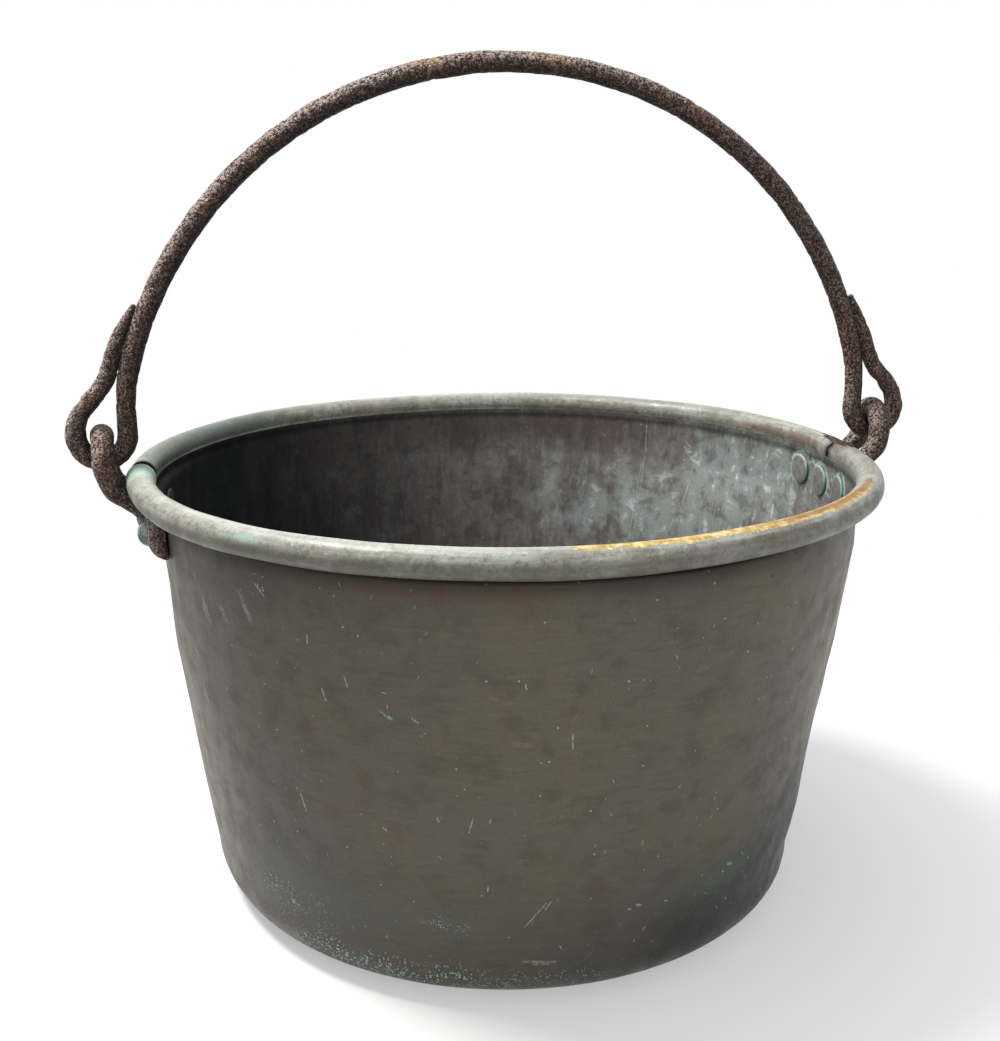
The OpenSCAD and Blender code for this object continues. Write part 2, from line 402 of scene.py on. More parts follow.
# -------------------- materials
# Marks that stand out on the wall, each from one place to another: degrees round, mm up, width in mm
BROAD = 4.5                # from this width on, a group's marks get loose edges
WANDER = 0.006             # how far those edges may wander, in metres
OUTER_MARKS = [
    (rgb(186, 190, 178), 0.75, [
        (-44.8, 135.9, -44.2, 124.7, 1.1), (-17, 137.8, -17.6, 129, 1.2), (-3.2, 193.5, -3.1, 184, 0.9),
        (-38.4, 212.4, -38, 205.2, 1), (-48.4, 269.6, -46.8, 263.7, 1.2), (-46.9, 268.6, -47.5, 265.9, 1),
        (-6, 78.5, -9.2, 62, 0.8), (-5.2, 79.5, -6.2, 73.5, 0.8), (-39.8, 245.6, -39.9, 240, 1),
        (-25.1, 202, -24.2, 199.6, 1), (-34.6, 223, -34.2, 216.5, 0.9), (-9.8, 226, -9.6, 222.5, 1.2)]),
    (rgb(160, 158, 150), 0.6, [
        (-9.3, 35.8, -4.2, 34.3, 2.6), (-7.6, 33.4, -5.2, 33, 1.6)]),
    (rgb(164, 172, 160), 0.45, [
        (-64, 262, -61, 234, 9), (-57, 252, -55.5, 236, 7), (-52, 262, -50, 246, 7),
        (-68, 206, -66, 158, 7)]),
    (rgb(140, 186, 184), 0.75, [
        (-29.7, 204.8, -28.2, 199.8, 1.2), (-28.4, 201.6, -28, 200.2, 2), (4.1, 224, 4.3, 223.6, 1.6),
        (-22.2, 137, -22, 135.2, 2.2), (27.4, 76.5, 28.2, 75, 3), (26.2, 72.5, 26.5, 71.5, 1.6),
        (30.6, 80.5, 31.2, 77.5, 1.4), (9, 68.5, 9.7, 67.5, 2), (7.6, 66.5, 7.9, 66, 2.2),
        (14.3, 66, 14.6, 65.4, 2), (22.9, 60.5, 23.3, 59.7, 1.6), (-30.6, 125.5, -30.2, 124.5, 2)]),
    (rgb(126, 112, 84), 0.55, [
        (-11, 188.2, -8.6, 187.4, 4.2), (-3.5, 200, -2.6, 206, 1.6), (0.6, 33, 1.8, 38.5, 1.3),
        (-14.4, 218, -13.4, 216.5, 3.5), (-12.6, 214.6, -11.8, 214.2, 2.6)]),
    (rgb(40, 36, 34), 0.8, [
        (31.3, 283, 31.9, 281.6, 2), (26.4, 273, 26.8, 272.3, 2.2), (34.2, 268.6, 34.6, 267.8, 1.8)]),
]
INNER_MARKS = [
    (rgb(168, 172, 168), 0.65, [
        (137.1, 291, 137.2, 262, 1.5), (137.2, 262, 138.6, 176, 1.3), (137.9, 250, 139.6, 176, 1.2),
        (124.6, 270, 117.8, 190, 1), (120.6, 247, 113.3, 229, 0.9), (112.1, 229.5, 112, 206, 1.3),
        (118, 285, 114, 262, 0.8), (131.4, 246, 124.6, 190, 0.8)]),
    (rgb(204, 212, 208), 0.85, [
        (104.1, 240, 104.1, 229, 2.2), (103.9, 226, 103.9, 218, 1.2), (126.4, 242, 127.6, 222, 0.9),
        (118.4, 224, 118.5, 222.6, 1.6), (116.5, 208, 116.5, 202, 1.4), (121, 204, 121, 199, 1.2)]),
    (rgb(150, 160, 156), 0.6, [
        (145.9, 214, 144.9, 211, 7), (-163.4, 199, -163, 197, 5), (147.9, 216.5, 147.2, 215, 4),
        (152, 203, 152, 199, 4), (-160.8, 225, -160.7, 221, 1.6), (139.4, 255.5, 139.9, 253, 3)]),
]


class Patina(Shader):
    """Old copper: what its wall, its hollow and its bead have in common."""

    def __init__(self, name):
        super().__init__(name)
        self.round = self.mul(self.math("ARCTAN2", self.x, self.mul(self.y, -1.0)), ROUND_R)
        self.upright = self.ease(self.rise, 0.010, 0.036)      # 0 on the base, 1 on the wall
        self.grain = self.noise(900, 2)
        self.fine = self.noise(300, 3, 0.6)
        self.cloud = self.noise(55, 4, 0.62)
        self.blotch = self.noise(12, 4, 0.6, warp=0.5)

    def marked(self, groups):
        """Adds the marks that stand out; the edges of the broad ones wander."""
        flat = self.unrolled()
        drift = self.node("ShaderNodeTexNoise", {"Vector": self.place, "Scale": 90.0, "Detail": 4.0})
        loose = self.vector("MULTIPLY_ADD", drift.outputs["Color"], (2 * WANDER, 2 * WANDER, 0.0), flat)
        loose = self.vector("SUBTRACT", loose, (WANDER, WANDER, 0.0))
        breakup = self.mul(self.ease(self.fine, 0.36, 0.52, 0.3), self.ease(self.grain, 0.36, 0.5, 0.3))
        for tone, strength, marks in groups:
            broad = marks[0][-1] >= BROAD
            shape = self.top(*(self.stroke(loose if broad else flat, *m) for m in marks))
            worn = [self.ease(self.cloud, 0.42, 0.56)] if broad else []
            self.lay(tone, shape, breakup, strength, *worn)

    def scratched(self, amount, lines):
        """Adds fine pale lines, each family as (cells across, cells up, lean, seed, share of cells)."""
        families = [self.flecks(self.unrolled(across, up, turned, seed), share, 0.16)
                    for across, up, turned, seed, share in lines]
        self.lay(rgb(178, 182, 172), self.top(*families), self.ease(self.blotch, 0.42, 0.58, 0.1),
                 self.upright, amount)

    def dusted(self, share):
        dust = self.flecks(self.unrolled(230, 230, 0.0, 2.0), share, 0.2)
        self.lay(rgb(170, 190, 184), dust, 0.7, self.ease(self.cloud, 0.38, 0.6, 0.2), self.upright)

    def done(self, shine=0.32, extra=0.0, **sockets):
        """Darkens by the grain and by the mask of painted shade (with some grime at the seam), adds the fine
        relief and sets the shader's sockets.
        """
        self.lay(rgb(0, 0, 0), self.ease(self.grain, 0.5, 0.3), 0.16)
        # painted shade in recesses and under the bead, with some grime at the seam
        self.lay(rgb(18, 17, 15), self.mask("shade_and_grime"))
        dull = self.add(self.ease(self.cloud, 0.3, 0.7, 0.36, 0.5), self.sway(self.fine, 0.16))
        height = self.add(self.mul(self.grain, 0.3), self.mul(self.fine, 0.5), extra)
        normal = self.relief(height, 0.0004, 0.6, self.relief(self.cloud, 0.0012, 0.4))
        shine = self.mul(self.math("SUBTRACT", 1.0, self.mask("shade_and_grime")), shine)
        return self.finish(Base_Color=self.colour, Roughness=dull, Specular_IOR_Level=shine,
                           Normal=normal, **sockets)


SCRATCHES = [(330, 60, 0.1, 0.0, 0.02), (420, 75, 0.55, 3.0, 0.016), (420, 75, -0.45, 5.0, 0.016),
             (70, 480, 0.12, 8.0, 0.008)]


def wall_patina():
    """Outside wall: dull olive brown, slightly clouded, crusted with verdigris low down, with painted shade
    under the bead and toward the base.
    """
    s = Patina("wall_patina")
    s.colour = s.mix(s.ease(s.blotch, 0.36, 0.62), rgb(98, 90, 77), rgb(91, 89, 79))
    s.lay(rgb(76, 69, 60), s.ease(s.cloud, 0.46, 0.7), 0.5)
    s.lay(rgb(103, 89, 76), s.ease(s.smears(36, 26, 6.0), 0.52, 0.7), 0.35)
    s.lay(rgb(116, 110, 98), s.ease(s.smears(90, 380), 0.5, 0.72), 0.22)
    s.lay(rgb(70, 64, 57), s.ease(s.smears(50, 300, 3.0), 0.5, 0.7), 0.3)
    s.lay(rgb(108, 82, 71), s.patch("blush", s.cloud, 1.2), 0.45)
    # blue-grey patina low on the right, laid very dark so it is also painted shade at the bottom right
    s.lay(rgb(30, 40, 44), s.patch("slate_and_shade", s.cloud, 0.5, 0.45), 0.9)
    # painted shade just under the bead and toward the base, with soot: darker olive
    s.lay(rgb(48, 45, 40), s.mask("shade_and_soot"), 0.6)
    s.lay(rgb(84, 96, 87), s.patch("bloom", s.cloud, 1.6), 0.4)
    s.scratched(0.75, SCRATCHES)
    s.dusted(0.045)
    crust = s.mul(s.flecks(s.unrolled(640, 640, 0.0, 4.0), 0.5, 0.62), s.patch("crust", s.cloud, 1.3))
    s.lay(rgb(176, 210, 200), crust, 0.9)
    s.marked(OUTER_MARKS)
    return s.done(0.22, s.mul(crust, 0.5))


def hollow_patina():
    """Inside wall: purple-brown with grey drips and blue-green stains, darkened near black at the left as
    painted shade.
    """
    s = Patina("hollow_patina")
    s.colour = s.mix(s.ease(s.blotch, 0.36, 0.64), rgb(118, 109, 106), rgb(104, 101, 100))
    s.lay(rgb(70, 64, 64), s.ease(s.smears(48, 15, 5.0), 0.52, 0.36), 0.6)
    s.lay(rgb(142, 142, 142), s.ease(s.smears(62, 14), 0.5, 0.68), 0.5)
    s.lay(rgb(162, 166, 164), s.ease(s.smears(380, 60, 9.0), 0.54, 0.74), 0.35)
    s.lay(rgb(142, 146, 144), s.ease(s.cloud, 0.53, 0.68), 0.45)
    s.lay(rgb(86, 62, 57), s.patch("rust", s.cloud, 1.2), 0.55)
    s.lay(rgb(164, 176, 174), s.patch("stain", s.smears(46, 26, 2.0), 2.0, 0.5), 0.62)
    cool = s.noise(75, 5, 0.7, warp=0.4)
    s.lay(rgb(74, 68, 68), s.ease(cool, 0.49, 0.36), 0.5)
    s.lay(rgb(206, 218, 214), s.ease(cool, 0.54, 0.68), s.mask("stain"), 0.95)
    s.lay(rgb(196, 218, 214), s.patch("halo", s.fine, 1.3, 0.25), s.ease(s.cloud, 0.4, 0.54, 0.3), 0.85)
    s.scratched(0.6, SCRATCHES[:3])
    s.dusted(0.09)
    s.marked(INNER_MARKS)
    # painted shade: the inside's left side laid near black, less on the base
    s.lay(rgb(22, 26, 28), s.mask("inner_left_shade"), 0.93)
    return s.done(s.math("SUBTRACT", 0.34, s.mul(s.mask("inner_left_shade"), 0.3)))


def bead_patina():
    """Bead: mottled grey-green, pale on top at the left as painted highlight, darker on its underside as
    painted shade, rubbed to yellow metal along the front right.
    """
    s = Patina("bead_patina")
    s.rise = s.mask("girth")
    s.colour = s.mix(s.ease(s.noise(30, 4, 0.6), 0.4, 0.62), rgb(132, 132, 121), rgb(154, 158, 148))
    s.lay(rgb(116, 106, 102), s.ease(s.cloud, 0.5, 0.68), 0.5)
    s.lay(rgb(98, 112, 96), s.ease(s.noise(110, 4, 0.65), 0.5, 0.66), 0.65)
    s.lay(rgb(84, 79, 70), s.ease(s.fine, 0.5, 0.64), 0.6)
    s.lay(rgb(184, 188, 180), s.ease(s.noise(190, 3, 0.7), 0.56, 0.68), 0.5)
    s.lay(rgb(88, 88, 80), s.ease(s.smears(30, 480, 4.0), 0.5, 0.68), 0.45)
    s.lay(rgb(180, 184, 174), s.ease(s.smears(24, 330, 7.0), 0.52, 0.7), 0.45)
    s.lay(rgb(142, 126, 132), s.ease(s.blotch, 0.5, 0.62), 0.3)
    # painted shade along the bead's underside, in its crease at the front right and round the far side
    s.lay(rgb(94, 93, 83), s.mask("under"), s.ease(s.cloud, 0.3, 0.6, 0.5, 0.85))
    s.lay(rgb(66, 80, 72), s.patch("moss", s.cloud, 0.9), 0.8)
    # painted highlight along the bead's top, strongest at the front left and at the back
    s.lay(rgb(192, 196, 188), s.mask("pale"), s.ease(s.fine, 0.36, 0.6, 0.3, 0.85))
    s.lay(rgb(160, 188, 176), s.patch("mint", s.cloud, 1.0), 0.75)
    s.lay(rgb(96, 76, 64), s.patch("umber", s.cloud, 1.0), 0.7)
    worn = s.ease(s.add(s.mask("worn"), s.sway(s.fine, 0.9), s.sway(s.cloud, 0.9)), 0.42, 0.58)
    brass = s.mix(s.ease(s.noise(150, 3, 0.6), 0.4, 0.62), rgb(176, 142, 72), rgb(222, 202, 144))
    brass = s.mix(s.mul(s.patch("amber", s.fine, 1.6), 0.85), brass, rgb(136, 92, 50))
    brass = s.mix(s.mul(s.ease(s.smears(60, 900, 2.0), 0.5, 0.64), 0.5), brass, rgb(112, 84, 52))
    s.lay(brass, worn)
    return s.done(Metallic=s.mul(worn, 0.25))


def wrought_iron(name, worn_places=(), shade_and_soot=0.0):
    """Forged iron under fine rust, with painted highlight and painted shade by which way each side faces;
    each worn place is (x, z, reach) along the bail.
    """
    s = Shader(name)
    big = s.noise(26, 3, 0.6)
    cloud = s.noise(90, 3, 0.6)
    grit = s.noise(500, 2, 0.7)
    salt = s.noise(860, 2, 0.6)
    s.colour = s.mix(s.ease(big, 0.36, 0.64), rgb(84, 62, 54), rgb(70, 56, 52))
    s.lay(rgb(100, 66, 46), s.ease(cloud, 0.48, 0.64), 0.6)
    s.lay(rgb(146, 120, 108), s.ease(grit, 0.51, 0.62), 0.5)
    s.lay(rgb(206, 184, 172), s.ease(salt, 0.55, 0.64), 0.5)
    s.lay(rgb(18, 14, 13), s.ease(grit, 0.48, 0.4), 0.7)
    s.lay(rgb(15, 12, 12), s.ease(salt, 0.45, 0.37), 0.7)
    # painted shade: near black on the sides that face right, back and down; painted highlight: paler on the
    # sides that face the light, and rubbed paler toward the crown
    facing = s.vector("DOT_PRODUCT", s.outward, (-0.7, -0.2, 0.68), out=1)
    s.lay(rgb(20, 16, 15), s.ease(facing, 0.35, -0.45), 0.75)
    lit_side_and_crown_wear = s.add(facing, s.ease(s.rise, 0.46, 0.57, 0.0, 0.3))
    # painted highlight on the sides that face the light, with crown wear
    s.lay(rgb(202, 186, 177), s.ease(lit_side_and_crown_wear, 0.35, 0.95), s.ease(grit, 0.42, 0.56), 0.5)
    # darkens the whole piece toward near black by this share: painted shade and soot
    if shade_and_soot:
        s.lay(rgb(22, 15, 14), shade_and_soot)
    for x, z, reach in worn_places:
        near = s.vector("DISTANCE", s.place, (x, 0.0, z), out=1)
        rubbed = s.mul(s.ease(near, reach * 0.3, reach, 1.0, 0.0), s.ease(s.noise(260, 3), 0.5, 0.6))
        s.lay(rgb(186, 144, 84), rubbed, 0.6)
    height = s.add(grit, s.mul(salt, 0.5), cloud)
    normal = s.relief(height, 0.003, 1.0)
    return s.finish(Base_Color=s.colour, Roughness=s.ease(grit, 0.4, 0.62, 0.7, 0.45), Metallic=0.1,
                    Specular_IOR_Level=0.25, Normal=normal)


def rivet_patina():
    """Rivet heads: dull copper under a grey-green film, crusted pale toward the rim."""
    s = Shader("rivet_patina")
    cloud = s.noise(240, 4, 0.6)
    fine = s.noise(900, 3, 0.6)
    s.colour = s.mix(s.ease(cloud, 0.38, 0.64), rgb(136, 134, 130), rgb(112, 112, 110))
    s.lay(rgb(70, 96, 86), s.ease(cloud, 0.4, 0.56), s.mask("green"), 0.9)
    rim = s.mul(s.patch("edge", cloud, 1.2), s.math("SUBTRACT", 0.6, s.mul(s.mask("green"), 0.4)))
    s.lay(rgb(160, 190, 184), rim)
    s.lay(rgb(172, 178, 172), s.ease(fine, 0.56, 0.7), 0.4)
    # painted shade on the left rivets' inner heads, matching the inner wall there
    s.lay(rgb(24, 28, 28), s.mask("inner_left_shade"))
    normal = s.relief(s.add(fine, cloud), 0.0006, 0.8)
    return s.finish(Base_Color=s.colour, Roughness=s.ease(cloud, 0.3, 0.7, 0.4, 0.6), Metallic=0.1,
                    Specular_IOR_Level=0.3, Normal=normal)


copper = [wall_patina(), hollow_patina(), bead_patina()]
WALL, HOLLOW, BEAD = range(3)
iron = wrought_iron("rusty_iron", [(0.034, 0.574, 0.02), (-0.056, 0.572, 0.022)])
# the hoop sits inside the bead: painted shade and soot darken it nearly black
hoop_rust = wrought_iron("hoop_rust", shade_and_soot=0.85)
rivet_head = rivet_patina()

# -------------------- pan
def sheet_line():
    """Middle line of the sheet as (radius, height): base, corner, wall, collar, then round the bead."""
    mid = WALL_R - SHEET / 2
    taper = math.atan((WALL_R - BASE_R) / COLLAR_Z)
    cx = BASE_R - CORNER_R * math.tan((math.pi / 2 - taper) / 2)
    corner = CORNER_R - SHEET / 2
    line = [(r, SHEET / 2) for r in np.linspace(0.004, cx, 24, endpoint=False)]
    for a in np.radians(np.linspace(-90, -math.degrees(taper), 18, endpoint=False)):
        line.append((cx + corner * math.cos(a), CORNER_R + corner * math.sin(a)))
    foot = np.array([cx + corner * math.cos(taper), CORNER_R - corner * math.sin(taper)])
    top = np.array([mid, COLLAR_Z])
    for s in np.linspace(0, 1, 74, endpoint=False):
        x, z = foot + (top - foot) * s
        line.append((x + 0.001 * math.sin(math.pi * s), z))
    lip_z = RIM_Z - 0.0125
    line += [(mid, z) for z in np.linspace(COLLAR_Z, lip_z, 14, endpoint=False)]
    ring = BEAD_R - SHEET / 2
    a = math.radians(RING_ANGLES[0])
    p0, p3 = np.array([mid, lip_z]), np.array([BEAD_C + ring * math.cos(a), RIM_Z + ring * math.sin(a)])
    p1, p2 = p0 + (0, 0.006), p3 - 0.003 * np.array([math.sin(a), -math.cos(a)])
    for t in np.linspace(0, 1, 8, endpoint=False):
        u = 1 - t
        line.append(tuple(u ** 3 * p0 + 3 * t * u * u * p1 + 3 * t * t * u * p2 + t ** 3 * p3))
    bead_start = len(line)
    for a in np.radians(RING_ANGLES):
        line.append((BEAD_C + ring * math.cos(a), RIM_Z + ring * math.sin(a)))
    return np.array(line), bead_start


def wander(values, size, seed):
    """Smooth random run of numbers along a list of positions."""
    return np.array([noise.noise(Vector((v / size, seed, 0.3))) for v in values])


def build_pan():
    line, first_bead = sheet_line()
    rows = len(line)
    tangent = np.gradient(line, axis=0)
    tangent /= np.linalg.norm(tangent, axis=1)[:, None]
    inward = np.stack([-tangent[:, 1], tangent[:, 0]], 1)      # toward the pan's inside, the bead's outside
    seam = SEAM_TURN + np.array([-0.9, -0.62, -0.5, -0.38, -0.26, -0.14, -0.06, 0.0, 0.1, 0.22, 0.36])
    around = np.r_[np.arange(0, 360, 0.5) - 180, seam, CRACK_TURN, CRACK_TURN + 1e-4]
    around = np.unique(np.round(around, 5))
    cols = len(around)
    lip = int(np.searchsorted(around, CRACK_TURN - 1e-6))
    on_bead = np.arange(rows) >= first_bead
    ring = np.full(rows, OFF_RING)
    ring[first_bead:] = RING_ANGLES

    # the split in the bead: a tear along the top, and a crack from it down the inner side
    jag = wander(ring, 11, 3.1)
    torn = np.sqrt(np.clip(1 - ((ring - 94) / 26) ** 2, 0, 1))
    open_mm = np.where(torn > 0, torn * (23 + 16 * jag) + 0.6, 0)
    open_mm = np.maximum(open_mm, np.where((ring < 196) & (ring > 97), 0.8 + 1.2 * np.abs(jag), 0))
    degree = 1000 * BEAD_C * math.pi / 180
    shift = np.where(ring > 116, 2.6 * wander(ring, 22, 8.7), 3.0 * torn) * on_bead
    cut = (open_mm > 0.3) & on_bead
    turn = np.tile(around, (rows, 1))
    d = turn - CRACK_TURN
    side = np.where(np.arange(cols)[None, :] <= lip, -1.0, 1.0)
    turn = turn + np.exp(-np.abs(d) / 9) * (shift[:, None] + side * open_mm[:, None] * cut[:, None]) / degree

    # hand-made unevenness
    mid_r, mid_z = (np.tile(line[:, i:i + 1], (1, cols)) for i in (0, 1))
    rad = np.radians(turn)
    flat = np.stack([mid_r * np.sin(rad), -mid_r * np.cos(rad), mid_z], -1).reshape(-1, 3)
    shape = (rows, cols)
    wave = (noise_at(flat, 0.11, 1) * 0.0009 + noise_at(flat, 0.045, 2) * 0.00045).reshape(shape)
    beaten = (noise_at(flat, 0.018, 3) * 0.00022).reshape(shape)
    ripple = (noise_at(flat * (1, 1, 0.3), 0.012, 6) * 0.0003).reshape(shape)
    low, high = smooth(mid_z, 0.004, 0.03), fall(mid_z, RIM_Z - 0.05, RIM_Z - 0.012)
    right = bump_at(turn, 60, 26)
    push = (wave * 0.9 + beaten * (0.7 + right) + ripple * right) * (0.25 + 0.75 * high) * (0.2 + 0.8 * low)
    push -= 0.0004 * high * low + dent(turn, mid_z)
    bead_push = (noise_at(flat, 0.035, 5) * 0.0003).reshape(shape)
    past = turn - SEAM_TURN
    near_end = np.exp(-past.clip(0) / 4) * (1 - 0.75 * np.exp(-past.clip(0) / 0.16)) * (past > 0)
    groove = bump_at(past, -0.3, 0.28) * (past <= 0)
    bead_push += near_end * 0.0009 - np.exp(past.clip(None, 0) / 8) * (past <= 0) * 0.0005 - groove * 0.0012
    bead_push += np.exp(-np.abs(d) / 2.2) * (cut * (0.0004 + 0.0006 * np.abs(jag)))[:, None]
    fold = smooth(turn, 4, 20) * fall(turn, 44, 56)        # a crease along the bead's face at the right
    bead_push += fold * (0.0005 * bump_at(ring, -8, 16)[:, None] - 0.0008 * bump_at(ring, 20, 9)[:, None])
    bow = np.sin(rad * 3 + 0.7) * 0.0004 + np.sin(rad * 7 + 0.2) * 0.00025 - 0.0007
    bow += 0.0009 * bump_at(turn, -18, 16) + 0.0015 * bump_at(turn, 34, 24)
    bow *= smooth(mid_z, RIM_Z - 0.03, RIM_Z - 0.01)

    half = SHEET / 2
    skins = []
    for face in (1, -1):
        off = face * half - np.where(on_bead[:, None], 0, push)
        swell = np.where(on_bead[:, None], bead_push, 0) / (BEAD_R - half)
        r = mid_r + inward[:, :1] * off + (mid_r - BEAD_C) * swell
        z = mid_z + inward[:, 1:] * off + (mid_z - RIM_Z) * swell + bow
        y = np.clip(-r * np.cos(rad), PAN_LOW.y, PAN_HIGH.y)
        skins.append(np.stack([r * np.sin(rad), y, np.maximum(z, 0.0)], -1).reshape(-1, 3))
    points = np.concatenate(skins + [np.array([[0, 0, SHEET], [0, 0, 0.0]])])
    skin_size = rows * cols

    def at(skin, j, k):
        return skin * skin_size + j * cols + k % cols

    faces, choice = [], []
    for j in range(rows - 1):
        upper = BEAD if j >= first_bead - 2 else HOLLOW
        for k in range(cols):
            if k == lip and cut[j] and cut[j + 1]:
                continue
            faces.append((at(0, j, k), at(0, j, k + 1), at(0, j + 1, k + 1), at(0, j + 1, k)))
            faces.append((at(1, j, k), at(1, j + 1, k), at(1, j + 1, k + 1), at(1, j, k + 1)))
            choice += [upper, WALL]
    edge = rows - 1
    for k in range(cols):
        faces.append((2 * skin_size, at(0, 0, k + 1), at(0, 0, k)))
        faces.append((2 * skin_size + 1, at(1, 0, k), at(1, 0, k + 1)))
        faces.append((at(0, edge, k), at(0, edge, k + 1), at(1, edge, k + 1), at(1, edge, k)))
        choice += [HOLLOW, WALL, BEAD]
    opened = [j for j in range(rows - 1) if cut[j] and cut[j + 1]]
    for j in opened:
        faces.append((at(0, j, lip), at(0, j + 1, lip), at(1, j + 1, lip), at(1, j, lip)))
        faces.append((at(0, j + 1, lip + 1), at(0, j, lip + 1), at(1, j, lip + 1), at(1, j + 1, lip + 1)))
    for j, turned in ((opened[0], 1), (opened[-1] + 1, -1)):
        faces.append((at(0, j, lip), at(0, j, lip + 1), at(1, j, lip + 1), at(1, j, lip))[::turned])
    choice += [BEAD] * (len(faces) - len(choice))

    # where each point lies: degrees round the pan, mm up, degrees round the bead, degrees from the tear
    tt = np.r_[turn.ravel(), turn.ravel(), 0, 0]
    zz = points[:, 2] * 1000
    sec = np.r_[np.tile(np.repeat(ring, cols), 2), OFF_RING, OFF_RING]
    far_off = 99
    torn_off = np.where(cut[:, None], np.abs(d), far_off).ravel()
    torn_off = np.r_[torn_off, torn_off, far_off, far_off]
    row = np.r_[np.tile(np.repeat(np.arange(rows), cols), 2), 0, 0]
    inner = np.r_[np.ones(skin_size), np.zeros(skin_size), 1, 0]
    on_ring = inner * (row >= first_bead)
    is_in, outside = inner * (row < first_bead), (1 - inner) * (row < first_bead)

    def about(middle, width):
        """1 at a place round the pan, fading to either side of it."""
        return bump_at((tt - middle + 180) % 360, 180, width)

    def level(middle, width):
        """1 at a height, fading above and below it."""
        return bump_at(zz, middle, width)

    def sect(middle, width):
        """1 at a place round the bead's section, fading to either side of it."""
        return bump_at(sec, middle, width)

    masks = {
        "girth": np.radians(sec) * BEAD_R,
        # blue-grey patina low on the right, laid very dark so it is also painted shade at the bottom right
        "slate_and_shade": outside * (1.1 * fall(zz, 50, 180) * about(66, 36) + 0.8 * fall(zz, 24, 96)
                            * smooth(tt, -12, 36) * fall(tt, 104, 160)).clip(0, 1),
        # painted shade just under the bead and toward the base, with soot; also darker at the front left and
        # low at the right
        "shade_and_soot": outside * (0.6 * smooth(zz, 256, 288) + 0.55 * fall(zz, 20, 130) + 0.4 * fall(zz, 6, 26)
                           + 0.42 * about(-60, 18) + 0.3 * about(52, 34) * fall(zz, 20, 120)).clip(0, 1),
        "blush": outside * (0.8 * level(279, 8) * about(-22, 22) + 0.4 * level(130, 70) * about(-34, 16)
                            + 0.3 * level(90, 40) * about(2, 14)),
        "bloom": outside * (0.6 * level(66, 30) * about(-52, 14) + 0.5 * level(60, 26) * about(-24, 22)
                            + 0.6 * level(72, 20) * about(26, 14) + 0.3 * level(230, 30) * about(-22, 10)),
        "crust": outside * (fall(zz, 16, 44) * (about(-36, 22) + 0.4 * about(-2, 16))
                            + 0.5 * level(50, 18) * about(-52, 14) + 0.4 * level(62, 10) * about(-22, 8)
                            + 0.3 * level(60, 20) * about(26, 12)),
        # painted shade along the bead's underside, in its crease at the front right and round the far side
        "under": on_ring * (fall(sec, -6, 34) + 0.4 * smooth(np.abs(tt), 96, 140)
                            + 0.7 * sect(22, 12) * smooth(tt, 4, 20) * fall(tt, 48, 60)).clip(0, 1),
        "moss": on_ring * smooth(-tt, 91, 93) * fall(-tt, 116, 176) * (1 - 0.6 * sect(60, 30)),
        # painted highlight along the bead's top, strongest at the front left and at the back
        "pale": on_ring * (sect(92, 34) * (0.2 + 0.64 * about(-36, 44))
                           + 0.6 * sect(92, 30) * about(172, 26)),
        "mint": on_ring * (0.9 * about(SEAM_TURN + 2, 7) * (tt > SEAM_TURN)
                           + 0.5 * about(-46, 5) * sect(30, 20)),
        "umber": on_ring * (0.9 * about(CRACK_TURN + 11, 8) * sect(165, 32)
                            + 0.6 * about(112, 9) * sect(170, 26)
                            + 0.6 * about(CRACK_TURN - 3, 3) * sect(120, 40)
                            + 0.8 * np.exp(-torn_off / 1.6)),
        "worn": on_ring * sect(86, 34) * smooth(tt, -20, 0) * (0.52 + 0.46 * smooth(tt, -12, 12))
        * (1 - 0.55 * smooth(tt, 40, 60) - 0.45 * smooth(tt, 58, 66)),
        "amber": on_ring * smooth(tt, 14, 30) * sect(88, 24) * 0.85,
        "stain": is_in * (0.9 * about(106, 12) * level(262, 34) + 0.8 * about(122, 7) * level(262, 26)
                          + 0.5 * about(120, 20) * level(220, 40) + 0.5 * about(144, 20) * level(205, 40)),
        "rust": is_in * (0.8 * level(278, 16) * about(160, 36) + 0.4 * about(132, 26) * level(225, 40)
                         + 0.6 * level(270, 20) * about(99, 9) + 0.7 * about(96, 8) * level(226, 20)),
        # painted shade: the inside's left side laid near black, less on the base
        "inner_left_shade": is_in * smooth(-points[:, 0], -0.125, 0.194) * (0.4 + 0.6 * smooth(zz, 10, 90)),
        "halo": np.zeros(len(points)),
        # painted shade behind the seam's near end, in the tear, just under the bead outside and inside, and
        # round the inner rivet heads; at the seam also grime
        "shade_and_grime": on_ring * (smooth(tt, SEAM_TURN - 4.2, SEAM_TURN - 2.9) * (tt < SEAM_TURN + 0.02)
                           + 0.95 * np.exp(-torn_off / 0.8))
        + outside * (0.4 * smooth(zz, 273, 284) + 0.55 * smooth(zz, 283, 286.5))
        * (1 - 0.5 * smooth(tt, 18, 40))
        + is_in * 0.6 * level(288.5, 2.6),
    }
    for word, wall_side, strength in (("left", LEFT, 0.1), ("right", RIGHT, 1.0)):
        for _, place, height in RIVETS[word]:
            centre = np.array(polar((90 + place) * wall_side, 0.243, height))
            away = np.linalg.norm(points - centre, axis=1)
            crusted = 0.9 * bump_at(away, 0.0123, 0.0013) + 0.3 * bump_at(away, 0.015, 0.008)
            masks["halo"] += is_in * strength * crusted
            # painted shade in the crease round each inner rivet head
            masks["shade_and_grime"] += is_in * 0.4 * bump_at(away, 0.0114, 0.0008)
    masks["shade_and_grime"] = np.clip(masks["shade_and_grime"], 0, 1)
    add_piece("copper_pan", points, faces, "pan", copper, ["pan"], masks, choice)


build_pan()

# -------------------- hoop inside the bead
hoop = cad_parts["rim_hoop"]
hoop.data.materials.clear()
hoop.data.materials.append(hoop_rust)


